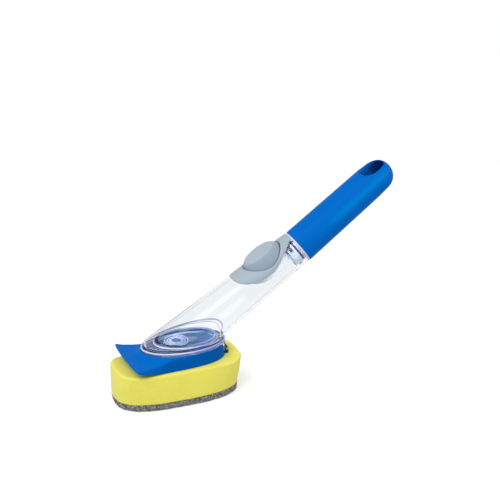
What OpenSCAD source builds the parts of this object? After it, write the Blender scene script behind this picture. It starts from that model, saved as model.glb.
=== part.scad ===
// Dish wand: a refillable soap reservoir with a press button, a twist-off grip
// and a clip-on sponge head with a scraper lip. It stands on its scouring pad.
// The origin is the middle of the pad's underside. +X runs towards the grip.

/* [Sponge] */
// Length of the sponge and the scouring pad
sponge_l = 90; // [84:1:110]
// Width of the sponge and the scouring pad
sponge_w = 45; // [42:1:60]
// Height of the yellow foam
foam_h = 20.8; // [16:0.1:30]
// Thickness of the scouring pad
pad_h = 5.2; // [2:0.1:8]
// Squareness of the sponge's outline, where 2 is an ellipse
sponge_power = 3.1; // [2.4:0.1:5]
// How much shorter the pad is than the foam
pad_inset = 2; // [0:0.2:4]
// How far the pad's middle lies in front of the foam's
pad_lead = 0.9; // [0:0.1:1]

/* [Head plate] */
// Distance from the origin forward to the scraper's corners
lip_reach = 36; // [33:1:42]
// Width across the scraper's corners
lip_w = 48.6; // [44:0.2:56]
// How far the scraper's edge bows forward between its corners
lip_bow = 1.7; // [0.5:0.1:4]
// Height of the scraper's underside above the foam
lip_rise = 6; // [3:0.5:7]
// Thickness of the scraper at its edge
lip_t = 1.5; // [1:0.1:2.5]
// Width of the plate behind the scraper
plate_w = 37.4; // [36.6:0.2:42]
// How far the plate's rear end stops short of the foot's flange
plate_short = 1.3; // [0.8:0.1:1.6]
// Height of the plate's rim above the foam
plate_h = 10; // [9:0.5:14]
// Thickness of the plate's floor
plate_floor = 2; // [1.4:0.1:3]

/* [Foot] */
// Distance from the origin back to the middle of the oval foot
foot_x = 5.5; // [4.6:0.1:6.2]
// Length of the foot's flange
foot_l = 61; // [59.4:0.2:62]
// Width of the foot's flange
foot_w = 35.8; // [34:0.2:36.4]
// Thickness of the foot's flange
flange_t = 2.5; // [2:0.1:4]
// Thickness of the foot's floor
floor_t = 1.8; // [1.2:0.1:2]
// Height of the weld ring above the plate's rim
ring_h = 5.6; // [4:0.1:8]
// Width of the clip tongue at the rear
tongue_w = 11; // [8:0.5:12]

/* [Valve] */
// Distance from the origin back to the valve's axis
valve_x = 0.5; // [-2:0.1:3]
// Radius of the turret that holds the valve
turret_r = 8.6; // [8.2:0.1:9.4]
// Outer radius of the valve cup
cup_r = 6; // [5.8:0.1:6.4]
// Outer radius of the outlet nozzle
nozzle_r = 4.2; // [3.8:0.1:4.4]
// Section diameter of the nozzle's sealing ring
nozzle_ring_t = 1.4; // [1.2:0.1:1.6]
// Width of the slits in the silicone valve
slit_w = 0.25; // [0.15:0.05:0.5]

/* [Reservoir] */
// Tilt of the reservoir tube above the horizontal
tube_tilt = 33; // [31:0.5:36]
// Length of the tube from the neck down to the foot's shoulder
tube_l = 61; // [58:1:66]
// Outer radius of the tube at the neck
tube_r = 12.3; // [12:0.1:12.8]
// Outer radius of the tube at the foot's shoulder
shoulder_r = 14.8; // [14.2:0.1:15.6]
// Wall of the reservoir
wall = 1.8; // [1.4:0.1:2.2]
// Distance from the origin back to the middle of the grip's first edge
grip_x = 92.3; // [90:0.5:96]
// Height of the middle of the grip's first edge
grip_z = 95.8; // [93:0.5:99]

/* [Button] */
// Distance from the neck down the tube to the button's middle
button_at = 20; // [19:0.5:22]
// Length of the button
button_l = 30; // [26:0.5:31]
// Width of the button
button_w = 22; // [19:0.5:22.4]
// Height of the button's top above the tube's axis
button_top = 17.4; // [16.6:0.1:18.6]
// Running gap round the button
button_gap = 0.35; // [0.25:0.05:0.5]
// Travel of the button
button_travel = 2.5; // [1.5:0.1:2.7]
// Length of the soft panel round the button
panel_l = 41; // [38:0.5:44]
// Width of the soft panel
panel_w = 27.2; // [26.4:0.2:27.6]
// Thickness of the soft panel
panel_t = 1; // [0.6:0.1:1.4]

/* [Grip] */
// Tilt of the grip above the horizontal
grip_tilt = 36; // [34:0.5:38]
// Length of the grip
grip_l = 85.5; // [78:0.5:100]
// Outer radius of the grip at its first edge
grip_r = 12.65; // [12.4:0.05:13.2]
// Outer radius of the grip where its end starts to round off
grip_end_r = 11.7; // [11:0.1:12.4]
// Wall of the grip
grip_wall = 2.3; // [1.8:0.1:2.3]
// Length of the hang hole
hang_l = 13.6; // [11:0.2:15]
// Width of the hang hole
hang_w = 10.4; // [8:0.2:11]
// Length of the hang hole's flared mouth
mouth_l = 18.6; // [16:0.2:19]
// Width of the hang hole's flared mouth
mouth_w = 15.6; // [12.6:0.2:16.4]

/* [Neck] */
// Radius of the neck's bore
neck_bore_r = 9.6; // [9.2:0.1:9.8]
// Clearance between the plug and the neck's bore
plug_gap = 0.3; // [0.2:0.05:0.4]
// Section diameter of the plug's sealing ring
plug_ring_t = 1.3; // [1:0.1:1.6]
// Thickness of the neck's gasket
gasket_t = 1.4; // [1:0.1:2]
// Number of bayonet lugs
lugs = 3; // [2:1:3]
// Angle that each lug covers
lug_angle = 24; // [16:1:28]
// Angle that the grip turns to unlock
unlock_angle = 60; // [50:1:64]

/* [Release tab] */
// Width of the release tab
tab_w = 7; // [5:0.5:7.4]
// Height of the release tab above its hinge
tab_h = 4; // [3.4:0.1:5.5]
// Radius of the tab's hinge bead
tab_bead_r = 0.8; // [0.7:0.05:0.9]
// Running clearance of the tab's hinge
tab_fit = 0.05; // [0.03:0.01:0.08]

/* [Hidden] */
$fn = 96;

// Small amounts used throughout
cut = 1;
seat_gap = 0.05;
slip = 0.3;
outline_n = 72;
hull_fn = 32;
hull_n = 64;
slab = 0.02;

// Heights in the head
foam_top = pad_h + foam_h;
rim_z = foam_top + plate_h;
flange_top = rim_z + flange_t;
pocket_z = foam_top + plate_floor;
lip_under_z = foam_top + lip_rise;
lip_edge_z = lip_under_z + lip_t;

// Plan of the plate: a superellipse behind, flaring to the scraper in front
plate_power = 2.6;
plate_mid_x = -8;
plate_reach = foot_x + foot_l / 2 - plate_short;
flare_power = 1.5;
foot_front_x = foot_x - foot_l / 2;
curl_back = 15;
flat_back = 5;
rim_back = 16;
lip_curve_x = foot_front_x + curl_back;
lip_flat_x = foot_front_x + flat_back;
rim_start_x = foot_front_x + rim_back;
lip_dip = 1;
lip_dip_in = 6;
rim_flare = 3;
pad_power = 2.7;

// Ovals of the foot, from the outside in
plate_wall = 2;
skirt_t = 1.6;
skirt_a = foot_l / 2 - 2.8;
skirt_b = foot_w / 2 - 1.8;
skirt_z = pocket_z + 0.6;
body_inset = 1;
ring_a = 22.5;
ring_b = foot_w / 2 - body_inset - wall - 0.4;
ring_x = foot_x + foot_l / 2 - body_inset - wall - 3.4 - ring_a;
ring_t = 1.2;
rib_t = 1.2;
rib_y = 5.5;
rib_h = 2.2;
tongue_t = 1.6;
tongue_x = foot_x + skirt_a - 0.2;
tongue_z = pocket_z + 0.6;

// Release tab, seated behind the tongue
tab_t = 1.3;
tab_pivot_x = tongue_x + tongue_t + slip + tab_bead_r;
tab_pivot_z = foam_top + 0.5 + tab_bead_r;
tab_hook = 0.7;
tab_hook_h = 1;
tab_pad_r = 1.2;
cheek_t = 1.4;
cheek_gap = 0.2;
pin_l = cheek_t - cheek_gap;
tab_top_z = tab_pivot_z + tab_h;
hook_z = tab_top_z - tab_hook_h;

// Valve stack, upwards from the nozzle
turret_top = rim_z + 4;
cup_flange_r = turret_r - 1.3;
cup_flange_t = 1;
cup_flange_z = turret_top - 2;
cup_floor_z = rim_z - 3;
cup_wall = 1.4;
cup_floor_t = 1;
boss_z = cup_floor_z;
boss_r = cup_r + 1.6;
nozzle_wall = 1.4;
nozzle_end_z = foam_top + 0.3;
valve_rim_t = 1.2;
valve_rim_r = cup_r - cup_wall;
valve_dome_r = 2.9;
valve_skin = 0.8;
valve_z = cup_floor_z + cup_floor_t;
retainer_wall = 1.1;
retainer_flange_t = 0.8;
seat_boss_h = 3.2;
seat_boss_wall = 1.7;
nozzle_ring_r = nozzle_r + nozzle_ring_t / 2;
seat_r = nozzle_r + nozzle_ring_t;
seat_z = pocket_z + 0.6;

// Tube frame and grip frame
tube_drop = 5;
neck_mid_x = grip_x - tube_drop * cos(grip_tilt);
neck_mid_z = grip_z - tube_drop * sin(grip_tilt);
neck_r = tube_r + 0.1;
neck_l = 12;
tube_over = 9;

// Button well in the tube
well_wall = 1.2;
well_a = button_l / 2 + button_gap;
well_b = button_w / 2 + button_gap;
well_floor_z = 1.2;
ledge_z = well_floor_z + well_wall;
ledge_in = 3.8;
diaphragm_t = 0.9;
clamp_t = 0.9;
clamp_in = 2.6;
clamp_top = ledge_z + diaphragm_t + clamp_t;
skirt_bottom = clamp_top + button_travel + 0.15;
cap_shell = 1.8;
stem_r = 3;
stem_bottom = skirt_bottom - 0.6;
thumb_r = 62;
thumb_depth = 0.7;
panel_power = 3;
panel_blend = 0.75;
panel_start = 4.8;
panel_wide_x = 25;
panel_waist_x = -0.8;
panel_waist = 5.6;
panel_flare = 5.6;

// Plug and bayonet, measured along the grip from its first edge
plug_r = neck_bore_r - plug_gap;
plug_in = 9;
plug_out = 14;
plug_shell = 1.8;
plug_end_t = 1.5;
lug_r = neck_bore_r + 0.9;
lug_low = -7.6;
lug_high = -5.6;
race_r = lug_r + 0.3;
race_gap = 0.4;
slot_extra = 10;
lug_start = -46;
plug_ring_at = -3.2;
plug_ring_r = neck_bore_r - seat_gap - plug_ring_t / 2;
sleeve_bore_r = grip_r - grip_wall;
hang_end = 11;
hang_at = grip_l - hang_end;
hang_deep = 6;
round_l = 12;
cavity_end = hang_at - mouth_l / 2 - 2.4;
edge_round = 0.6;

// Points of a superellipse with half-sizes a and b
function oval(a, b, p = 2, n = outline_n) = [
    for (i = [0 : n - 1])
    let (c = cos(360 * i / n), s = sin(360 * i / n))
    [a * sign(c) * pow(abs(c), 2 / p), b * sign(s) * pow(abs(s), 2 / p)]
];

// Half of the plate's width at a distance x behind the origin
function plate_half(x) =
    x < plate_mid_x
    ? plate_w / 2 + (lip_w - plate_w) / 2 * pow((plate_mid_x - x) / (lip_reach + plate_mid_x), flare_power)
    : plate_w / 2 * pow(max(0, 1 - pow((x - plate_mid_x) / (plate_reach - plate_mid_x), plate_power)),
                        1 / plate_power);

// Moves children into the grip's frame, with X along the grip and Z towards its upper side
module grip_frame() {
    translate([grip_x, 0, grip_z])
        rotate([0, -grip_tilt, 0])
            children();
}

// Moves children into the tube's frame, with X up the tube and Z towards its upper side
module tube_frame() {
    translate([neck_mid_x, 0, neck_mid_z])
        rotate([0, -tube_tilt, 0])
            children();
}

// A round bar along X from x0 to x1, with a radius at each end
module bar(x0, x1, r0, r1) {
    translate([x0, 0, 0])
        rotate([0, 90, 0])
            cylinder(h = x1 - x0, r1 = r0, r2 = r1);
}

// A flat oval slab of half-sizes a and b from z0 to z1
module oval_slab(a, b, z0, z1, p = 2, n = outline_n) {
    translate([0, 0, z0])
        linear_extrude(z1 - z0)
            polygon(oval(a, b, p, n));
}

// A ring that lies flat, with a round section
module torus(r, t) {
    rotate_extrude()
        translate([r, 0])
            circle(d = t, $fn = hull_fn);
}

// Slab with straight sides and round ends, length l and width w
module slot_slab(l, w, z0, z1) {
    for (side = [-1, 1])
        translate([side * (l - w) / 2, 0, z0])
            cylinder(h = z1 - z0, d = w);
    translate([-(l - w) / 2, -w / 2, z0])
        cube([l - w, w, z1 - z0]);
}

module scouring_pad() {
    color("dimgray")
        translate([-pad_lead, 0, 0])
            oval_slab((sponge_l - pad_inset) / 2, sponge_w / 2, 0, pad_h, pad_power);
}

module sponge() {
    color("khaki")
        oval_slab(sponge_l / 2, sponge_w / 2, pad_h, foam_top, sponge_power);
}

// Outline of the plate seen from above
module plate_plan() {
    side_n = 40;
    edge_n = 12;
    side = [
        for (i = [0 : side_n])
        let (x = -lip_reach + (plate_reach + lip_reach) * sin(90 * i / side_n))
        [x, plate_half(x)]
    ];
    bow = [
        for (i = [1 : edge_n - 1])
        let (y = -lip_w / 2 + lip_w * i / edge_n)
        [-lip_reach - lip_bow * (1 - pow(2 * y / lip_w, 2)), y]
    ];
    far_side = [for (i = [side_n - 1 : -1 : 0]) [side[i][0], -side[i][1]]];
    polygon(concat(side, far_side, bow));
}

// Side view of the plate: flat below, curling up to the scraper in front
module plate_profile() {
    front = lip_reach + lip_bow;
    run = front + lip_curve_x;
    curl_r = (run * run + lip_rise * lip_rise) / (2 * lip_rise);
    curl_n = 14;
    curl = [
        for (i = [0 : curl_n])
        let (x = lip_curve_x - run * i / curl_n)
        [x, foam_top + curl_r - sqrt(curl_r * curl_r - pow(lip_curve_x - x, 2))]
    ];
    polygon(concat(
        [[plate_reach + cut, foam_top]],
        curl,
        [[-front, lip_edge_z], [-lip_reach + lip_dip_in, lip_edge_z - lip_dip], [lip_flat_x, lip_edge_z - lip_dip * 0.8],
         [rim_start_x, rim_z], [plate_reach + cut, rim_z]]
    ));
}

module head_plate() {
    color("mediumblue") {
        difference() {
            intersection() {
                translate([0, 0, foam_top - cut])
                    linear_extrude(plate_h + 2 * cut)
                        plate_plan();
                union() {
                    translate([0, lip_w, 0])
                        rotate([90, 0, 0])
                            linear_extrude(2 * lip_w)
                                plate_profile();
                    // Sloped shoulder up to the rim that carries the foot
                    translate([foot_x, 0, 0])
                        hull() {
                            oval_slab(foot_l / 2 + rim_flare, foot_w / 2 + rim_flare, lip_under_z, lip_edge_z - lip_dip,
                                      2, hull_n);
                            oval_slab(foot_l / 2, foot_w / 2, rim_z - slab, rim_z, 2, hull_n);
                        }
                }
            }
            // Pocket that takes the foot's skirt
            translate([foot_x, 0, 0])
                oval_slab(skirt_a + slip / 2, skirt_b + slip / 2, pocket_z, rim_z + cut);
            // Notch that shows the clip tongue
            translate([foot_x, -tongue_w / 2 - slip, pocket_z])
                cube([foot_l, tongue_w + 2 * slip, plate_h]);
            // Room for the release tab
            translate([tongue_x + tongue_t, -tab_w / 2 - cheek_gap, foam_top - cut])
                cube([foot_l, tab_w + 2 * cheek_gap, plate_h]);
            // Way through the floor for the nozzle
            translate([valve_x, 0, foam_top - cut])
                cylinder(h = plate_h, r = nozzle_r + slip);
        }
        // Seat for the nozzle's sealing ring
        translate([valve_x, 0, 0])
            difference() {
                translate([0, 0, foam_top])
                    cylinder(h = plate_floor + seat_boss_h, r = seat_r + seat_boss_wall);
                translate([0, 0, foam_top - cut])
                    cylinder(h = plate_h, r = nozzle_r + slip);
                translate([0, 0, seat_z])
                    cylinder(h = plate_h, r = seat_r);
            }
        // Cheeks that carry the release tab's hinge
        for (side = [-1, 1])
            difference() {
                translate([tongue_x - 2, side * (tab_w / 2 + cheek_gap + cheek_t / 2) - cheek_t / 2, foam_top])
                    cube([tab_pivot_x + tab_bead_r + 0.6 - tongue_x + 2, cheek_t, plate_floor + tab_bead_r / 2]);
                translate([tongue_x - 2 - cut, -foot_w / 2, pocket_z])
                    cube([tongue_t + 2 + cut + slip, foot_w, plate_h]);
                translate([tab_pivot_x, -foot_w / 2, tab_pivot_z])
                    rotate([-90, 0, 0])
                        cylinder(h = foot_w, r = tab_bead_r + tab_fit);
            }
    }
}

module release_tab() {
    tab_back = -tab_bead_r;
    color("navy")
        translate([tab_pivot_x, 0, tab_pivot_z])
            rotate([90, 0, 0]) {
                // Hinge bead with a pin at each end
                translate([0, 0, -tab_w / 2 - pin_l])
                    cylinder(h = tab_w + 2 * pin_l, r = tab_bead_r);
                translate([0, 0, -tab_w / 2])
                    linear_extrude(tab_w)
                        union() {
                            translate([tab_back, 0])
                                square([tab_t, tab_h]);
                            translate([tab_back + tab_t, tab_h - tab_pad_r])
                                circle(r = tab_pad_r);
                            translate([tab_back - slip - tab_hook, tab_h - tab_hook_h])
                                square([tab_hook + slip + tab_t, tab_hook_h]);
                        }
            }
}

module foot_base() {
    color("lightcyan")
        difference() {
            union() {
                translate([foot_x, 0, 0]) {
                    // Flange and floor in one
                    difference() {
                        oval_slab(foot_l / 2, foot_w / 2, rim_z, flange_top);
                        oval_slab(foot_l / 2 - body_inset - wall, foot_w / 2 - body_inset - wall,
                                  rim_z + floor_t, flange_top + cut);
                    }
                    // Skirt that drops into the plate's pocket
                    difference() {
                        oval_slab(skirt_a, skirt_b, skirt_z, rim_z + slab);
                        oval_slab(skirt_a - skirt_t, skirt_b - skirt_t, skirt_z - cut, rim_z);
                    }
                }
                // Raised weld ring
                translate([ring_x, 0, 0])
                    difference() {
                        oval_slab(ring_a, ring_b, rim_z + floor_t / 2, rim_z + ring_h);
                        oval_slab(ring_a - ring_t, ring_b - ring_t, rim_z + floor_t / 2 - cut, rim_z + ring_h + cut);
                    }
                // Turret and boss of the valve
                translate([valve_x, 0, boss_z])
                    cylinder(h = turret_top - boss_z, r = boss_r);
                translate([valve_x, 0, rim_z + floor_t / 2])
                    cylinder(h = turret_top - rim_z - floor_t / 2, r = turret_r);
                // Ribs from the turret to the rear of the weld ring
                for (side = [-1, 1])
                    translate([valve_x, side * rib_y - rib_t / 2, rim_z + floor_t / 2])
                        cube([ring_x + ring_a * 0.86 - valve_x, rib_t, rib_h + floor_t / 2]);
                // Clip tongue at the rear
                translate([tongue_x, -tongue_w / 2, tongue_z])
                    cube([tongue_t, tongue_w, rim_z - tongue_z + floor_t / 2]);
            }
            // Stepped bore for the valve cup
            translate([valve_x, 0, boss_z - cut])
                cylinder(h = turret_top, r = cup_r);
            translate([valve_x, 0, cup_flange_z])
                cylinder(h = turret_top, r = cup_flange_r);
            // Window that the tab's hook snaps into
            translate([tongue_x - cut, -tab_w / 2 - slip, hook_z - slip])
                cube([tongue_t + 2 * cut, tab_w + 2 * slip, tab_hook_h + 2 * slip]);
        }
}

module valve_cup() {
    color("whitesmoke")
        translate([valve_x, 0, 0])
            difference() {
                union() {
                    translate([0, 0, cup_flange_z])
                        cylinder(h = cup_flange_t, r = cup_flange_r - seat_gap);
                    translate([0, 0, cup_floor_z])
                        cylinder(h = cup_flange_z - cup_floor_z + slab, r = cup_r - seat_gap);
                    translate([0, 0, nozzle_end_z])
                        cylinder(h = cup_floor_z - nozzle_end_z + slab, r = nozzle_r);
                }
                translate([0, 0, valve_z])
                    cylinder(h = plate_h, r = valve_rim_r);
                translate([0, 0, nozzle_end_z - cut])
                    cylinder(h = plate_h, r = nozzle_r - nozzle_wall);
            }
}

module slit_valve() {
    color("ghostwhite")
        translate([valve_x, 0, valve_z])
            difference() {
                union() {
                    difference() {
                        cylinder(h = valve_rim_t, r = valve_rim_r - seat_gap);
                        translate([0, 0, -cut])
                            cylinder(h = valve_rim_t + 2 * cut, r = valve_dome_r);
                    }
                    // Dome that stands up into the retainer
                    translate([0, 0, valve_rim_t / 2])
                        difference() {
                            sphere(r = valve_dome_r + valve_skin / 2);
                            sphere(r = valve_dome_r - valve_skin / 2);
                            translate([-cup_r, -cup_r, -2 * cup_r])
                                cube(2 * cup_r);
                        }
                }
                for (turn = [0, 90])
                    rotate([0, 0, turn])
                        translate([-valve_dome_r * 0.7, -slit_w / 2, valve_rim_t])
                            cube([valve_dome_r * 1.4, slit_w, cup_r]);
            }
}

module valve_retainer() {
    retainer_z = valve_z + valve_rim_t;
    color("aliceblue")
        translate([valve_x, 0, retainer_z])
            difference() {
                union() {
                    cylinder(h = cup_flange_z + cup_flange_t - retainer_z, r = valve_rim_r - seat_gap);
                    translate([0, 0, cup_flange_z + cup_flange_t - retainer_z])
                        cylinder(h = retainer_flange_t, r = cup_r);
                }
                translate([0, 0, -cut])
                    cylinder(h = plate_h, r = valve_rim_r - retainer_wall);
            }
}

module nozzle_o_ring() {
    color("dimgray")
        translate([valve_x, 0, seat_z + nozzle_ring_t / 2])
            torus(nozzle_ring_r, nozzle_ring_t - seat_gap);
}

// The tube as a plain cone that runs past the neck, grown by a margin
module tube_cone(grow = 0) {
    over_r = tube_r - (shoulder_r - tube_r) * tube_over / tube_l;
    tube_frame()
        bar(-tube_l, tube_over, shoulder_r + grow, over_r + grow);
}

// The tube up to the seat of the neck's gasket
module tube_solid(grow = 0) {
    intersection() {
        tube_cone(grow);
        grip_frame()
            bar(-2 * tube_l, -gasket_t, 3 * shoulder_r, 3 * shoulder_r);
    }
}

// The shoulder between the tube's end and the oval foot, shrunk by a margin
module shoulder_solid(shrink = 0, low = 0) {
    hull() {
        tube_frame()
            translate([-tube_l, 0, 0])
                rotate([0, 90, 0])
                    cylinder(h = slab, r = shoulder_r - shrink, $fn = hull_n);
        translate([foot_x, 0, 0])
            oval_slab(foot_l / 2 - body_inset - shrink, foot_w / 2 - body_inset - shrink,
                      flange_top - low, flange_top + 2, 2, hull_n);
    }
}

// Sector of a ring about the grip's axis, centred on an angle from the upper side
module sector(x0, x1, r0, r1, mid, span) {
    translate([x0, 0, 0])
        rotate([0, 90, 0])
            rotate([0, 0, 180 - mid - span / 2])
                rotate_extrude(angle = span)
                    translate([r0, 0])
                        square([r1 - r0, x1 - x0]);
}

module reservoir_body() {
    color("azure")
        difference() {
            union() {
                tube_solid();
                shoulder_solid();
            }
            // Hollow of the tube, left solid where the button's well stands
            difference() {
                union() {
                    tube_frame()
                        bar(-tube_l - slab, -tube_drop, shoulder_r - wall, tube_r - wall);
                    shoulder_solid(wall, cut);
                }
                tube_frame()
                    translate([-button_at, 0, 0])
                        oval_slab(well_a + well_wall, well_b + well_wall, well_floor_z, 2 * shoulder_r);
            }
            // Button's well, and the hole that the diaphragm closes
            tube_frame()
                translate([-button_at, 0, 0]) {
                    oval_slab(well_a, well_b, ledge_z, 2 * shoulder_r);
                    oval_slab(well_a - ledge_in, well_b - ledge_in, 0, 2 * shoulder_r);
                }
            // Neck: bore, bayonet race and entry slots
            grip_frame() {
                bar(-neck_l - tube_drop, cut, neck_bore_r, neck_bore_r);
                bar(lug_low - race_gap, lug_high + race_gap, race_r, race_r);
                for (i = [0 : lugs - 1])
                    sector(lug_high, cut, neck_bore_r - slip, race_r - seat_gap,
                           lug_start - unlock_angle + 360 * i / lugs, lug_angle + slot_extra);
            }
        }
}

// Half of the soft panel's width at a distance x down the tube from the neck
function panel_half(x) =
    x > panel_wide_x
    ? panel_w / 2 * pow(max(0, 1 - pow((x - panel_wide_x) / (panel_l + panel_start - panel_wide_x), panel_power)),
                        1 / panel_power)
    : x < panel_waist_x
    ? panel_waist + panel_flare * (panel_waist_x - x) / (panel_waist_x + tube_over)
    : panel_waist + (panel_w / 2 - panel_waist) * pow(sin(90 * (x - panel_waist_x) / (panel_wide_x - panel_waist_x)),
                                                      panel_blend);

// Plan of the soft panel, seen down the button's axis
module panel_plan() {
    long_n = 44;
    first = -tube_over;
    reach = panel_l + panel_start - first;
    half = [
        for (i = [0 : long_n])
        let (x = first + reach * sin(90 * i / long_n))
        [-x, panel_half(x)]
    ];
    polygon(concat(half, [for (i = [long_n - 1 : -1 : 0]) [half[i][0], -half[i][1]]]));
}

module button_panel() {
    color("lightslategray")
        difference() {
            intersection() {
                tube_solid(panel_t);
                tube_frame()
                    linear_extrude(2 * shoulder_r)
                        panel_plan();
            }
            tube_cone();
            tube_frame()
                translate([-button_at, 0, 0])
                    oval_slab(well_a, well_b, 0, 2 * shoulder_r);
        }
}

// Outer or inner form of the button, shrunk by a margin
module button_form(shrink, bottom) {
    a = button_l / 2 - shrink;
    b = button_w / 2 - shrink;
    top = button_top - shrink;
    hull() {
        oval_slab(a, b, bottom, top - 5.6, 2, hull_n);
        oval_slab(a - 1.3, b - 1.2, bottom, top - 2.8, 2, hull_n);
        oval_slab(a - 4, b - 4.2, bottom, top, 2, hull_n);
    }
}

module button_cap() {
    color("lightsteelblue")
        tube_frame()
            translate([-button_at, 0, 0]) {
                difference() {
                    button_form(0, skirt_bottom);
                    button_form(cap_shell, skirt_bottom - cut);
                    translate([0, 0, button_top - thumb_depth + thumb_r])
                        sphere(r = thumb_r);
                }
                // Stem that presses the diaphragm
                translate([0, 0, stem_bottom])
                    cylinder(h = button_top - cap_shell / 2 - thumb_depth - stem_bottom, r = stem_r);
            }
}

module button_diaphragm() {
    dome_a = well_a - clamp_in - 0.2;
    dome_b = well_b - clamp_in - 0.2;
    dome_top = stem_bottom - seat_gap;
    color("gainsboro")
        tube_frame()
            translate([-button_at, 0, 0])
                difference() {
                    union() {
                        oval_slab(well_a - seat_gap, well_b - seat_gap, ledge_z, ledge_z + diaphragm_t);
                        oval_slab(dome_a, dome_b, ledge_z, dome_top - diaphragm_t);
                        oval_slab(dome_a - 2, dome_b - 2, ledge_z, dome_top);
                    }
                    oval_slab(dome_a - diaphragm_t, dome_b - diaphragm_t, ledge_z - cut, dome_top - 2 * diaphragm_t);
                    oval_slab(dome_a - 3, dome_b - 3, ledge_z - cut, dome_top - diaphragm_t);
                }
}

module diaphragm_ring() {
    color("white")
        tube_frame()
            translate([-button_at, 0, 0])
                difference() {
                    oval_slab(well_a - seat_gap, well_b - seat_gap, ledge_z + diaphragm_t, clamp_top);
                    oval_slab(well_a - clamp_in, well_b - clamp_in, 0, clamp_top + cut);
                }
}

module neck_gasket() {
    color("aliceblue")
        grip_frame()
            difference() {
                bar(-gasket_t, -seat_gap, neck_r, neck_r);
                bar(-gasket_t - cut, cut, race_r + 0.1, race_r + 0.1);
            }
}

module cap_plug() {
    color("royalblue")
        grip_frame() {
            difference() {
                union() {
                    bar(-plug_in, 0, plug_r, plug_r);
                    bar(0, plug_out, sleeve_bore_r - seat_gap, sleeve_bore_r - seat_gap);
                }
                bar(-plug_in + plug_end_t, plug_out + cut, plug_r - plug_shell, plug_r - plug_shell);
                // Groove of the sealing ring
                difference() {
                    bar(plug_ring_at - plug_ring_t / 2 - seat_gap, plug_ring_at + plug_ring_t / 2 + seat_gap,
                        neck_bore_r, neck_bore_r);
                    bar(plug_ring_at - plug_ring_t, plug_ring_at + plug_ring_t, plug_ring_r - plug_ring_t / 2 - seat_gap,
                        plug_ring_r - plug_ring_t / 2 - seat_gap);
                }
            }
            for (i = [0 : lugs - 1])
                sector(lug_low, lug_high, plug_r - 0.2, lug_r, lug_start + 360 * i / lugs, lug_angle);
        }
}

module plug_o_ring() {
    color("dimgray")
        grip_frame()
            translate([plug_ring_at, 0, 0])
                rotate([0, 90, 0])
                    torus(plug_ring_r, plug_ring_t);
}

// Outer profile of the grip, from its first edge to its round end
function grip_profile() = concat(
    [[0, 0], [0, grip_r - edge_round]],
    [for (i = [0 : 4]) [edge_round * (1 - cos(90 * i / 4)), grip_r - edge_round * (1 - sin(90 * i / 4))]],
    [for (i = [0 : 18])
        [grip_l - round_l + round_l * sin(90 * i / 18), grip_end_r * cos(90 * i / 18)]]
);

module grip_sleeve() {
    color("mediumblue")
        grip_frame()
            difference() {
                rotate([0, 90, 0])
                    rotate_extrude()
                        polygon([for (p = grip_profile()) [p[1], p[0]]]);
                // Socket for the plug and the hollow above it
                bar(-cut, plug_out, sleeve_bore_r, sleeve_bore_r);
                bar(plug_out - slab, cavity_end, sleeve_bore_r - 1, grip_end_r - grip_wall - 0.4);
                // Hang hole with a flared mouth on each side
                translate([hang_at, 0, 0]) {
                    slot_slab(hang_l, hang_w, -2 * grip_r, 2 * grip_r);
                    for (side = [0, 1])
                        mirror([0, 0, side])
                            hull() {
                                translate([0, 0, hang_deep])
                                    linear_extrude(slab)
                                        polygon(oval(hang_l / 2, hang_w / 2, 2, hull_n));
                                translate([0, 0, grip_end_r])
                                    linear_extrude(cut)
                                        polygon(oval(mouth_l / 2, mouth_w / 2, 2, hull_n));
                            }
                }
            }
}

scouring_pad();
sponge();
head_plate();
release_tab();
foot_base();
valve_cup();
slit_valve();
valve_retainer();
nozzle_o_ring();
reservoir_body();
button_panel();
button_cap();
button_diaphragm();
diaphragm_ring();
neck_gasket();
cap_plug();
plug_o_ring();
grip_sleeve();
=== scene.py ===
import math
import bmesh
import bpy
import numpy as np
from mathutils import Matrix, Vector


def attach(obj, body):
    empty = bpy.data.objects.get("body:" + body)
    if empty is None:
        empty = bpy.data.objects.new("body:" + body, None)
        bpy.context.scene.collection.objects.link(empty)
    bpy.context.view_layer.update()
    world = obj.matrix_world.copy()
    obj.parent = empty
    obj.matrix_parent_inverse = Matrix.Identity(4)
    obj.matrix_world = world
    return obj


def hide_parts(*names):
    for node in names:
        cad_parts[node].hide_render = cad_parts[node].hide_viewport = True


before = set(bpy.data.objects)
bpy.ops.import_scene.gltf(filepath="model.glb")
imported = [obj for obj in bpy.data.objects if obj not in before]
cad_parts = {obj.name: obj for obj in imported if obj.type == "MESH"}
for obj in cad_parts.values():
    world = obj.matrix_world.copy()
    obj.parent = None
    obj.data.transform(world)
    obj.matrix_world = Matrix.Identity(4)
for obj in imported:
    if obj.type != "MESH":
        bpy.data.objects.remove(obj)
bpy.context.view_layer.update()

# A dish wand on its scouring pad. Shapes are worked out in millimetres and turned
# into metres when a mesh is made. +X runs from the scraper lip towards the grip.
MM = 0.001
ROOT = "head_and_reservoir"

# Sizes shared with the solids
TUBE_TILT = 33.0
GRIP_TILT = 36.0
GRIP_START = np.array([92.3, 0.0, 95.8])
TUBE_DROP = 5.0
TUBE_L = 61.0
TUBE_R = 12.3
SHOULDER_R = 14.8
WALL = 1.8
FOOT_X = 5.5
FOOT_A = 30.5
FOOT_B = 17.9
PAD_TOP = 5.2
FOAM_TOP = 26.0
RIM_Z = 36.0
FLANGE_TOP = 38.5
RING_X = 7.3
RING_A = 22.5
RING_B = 14.7
VALVE_X = 0.5
BUTTON_AT = 20.0
WELL_A = 15.35
WELL_B = 11.35
GASKET_T = 1.4
HANG_AT = 74.5


def lean(tilt):
    """Unit vectors along and square to an axis that rises towards +X."""
    t = math.radians(tilt)
    return np.array([math.cos(t), 0, math.sin(t)]), np.array([-math.sin(t), 0, math.cos(t)])


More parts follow.
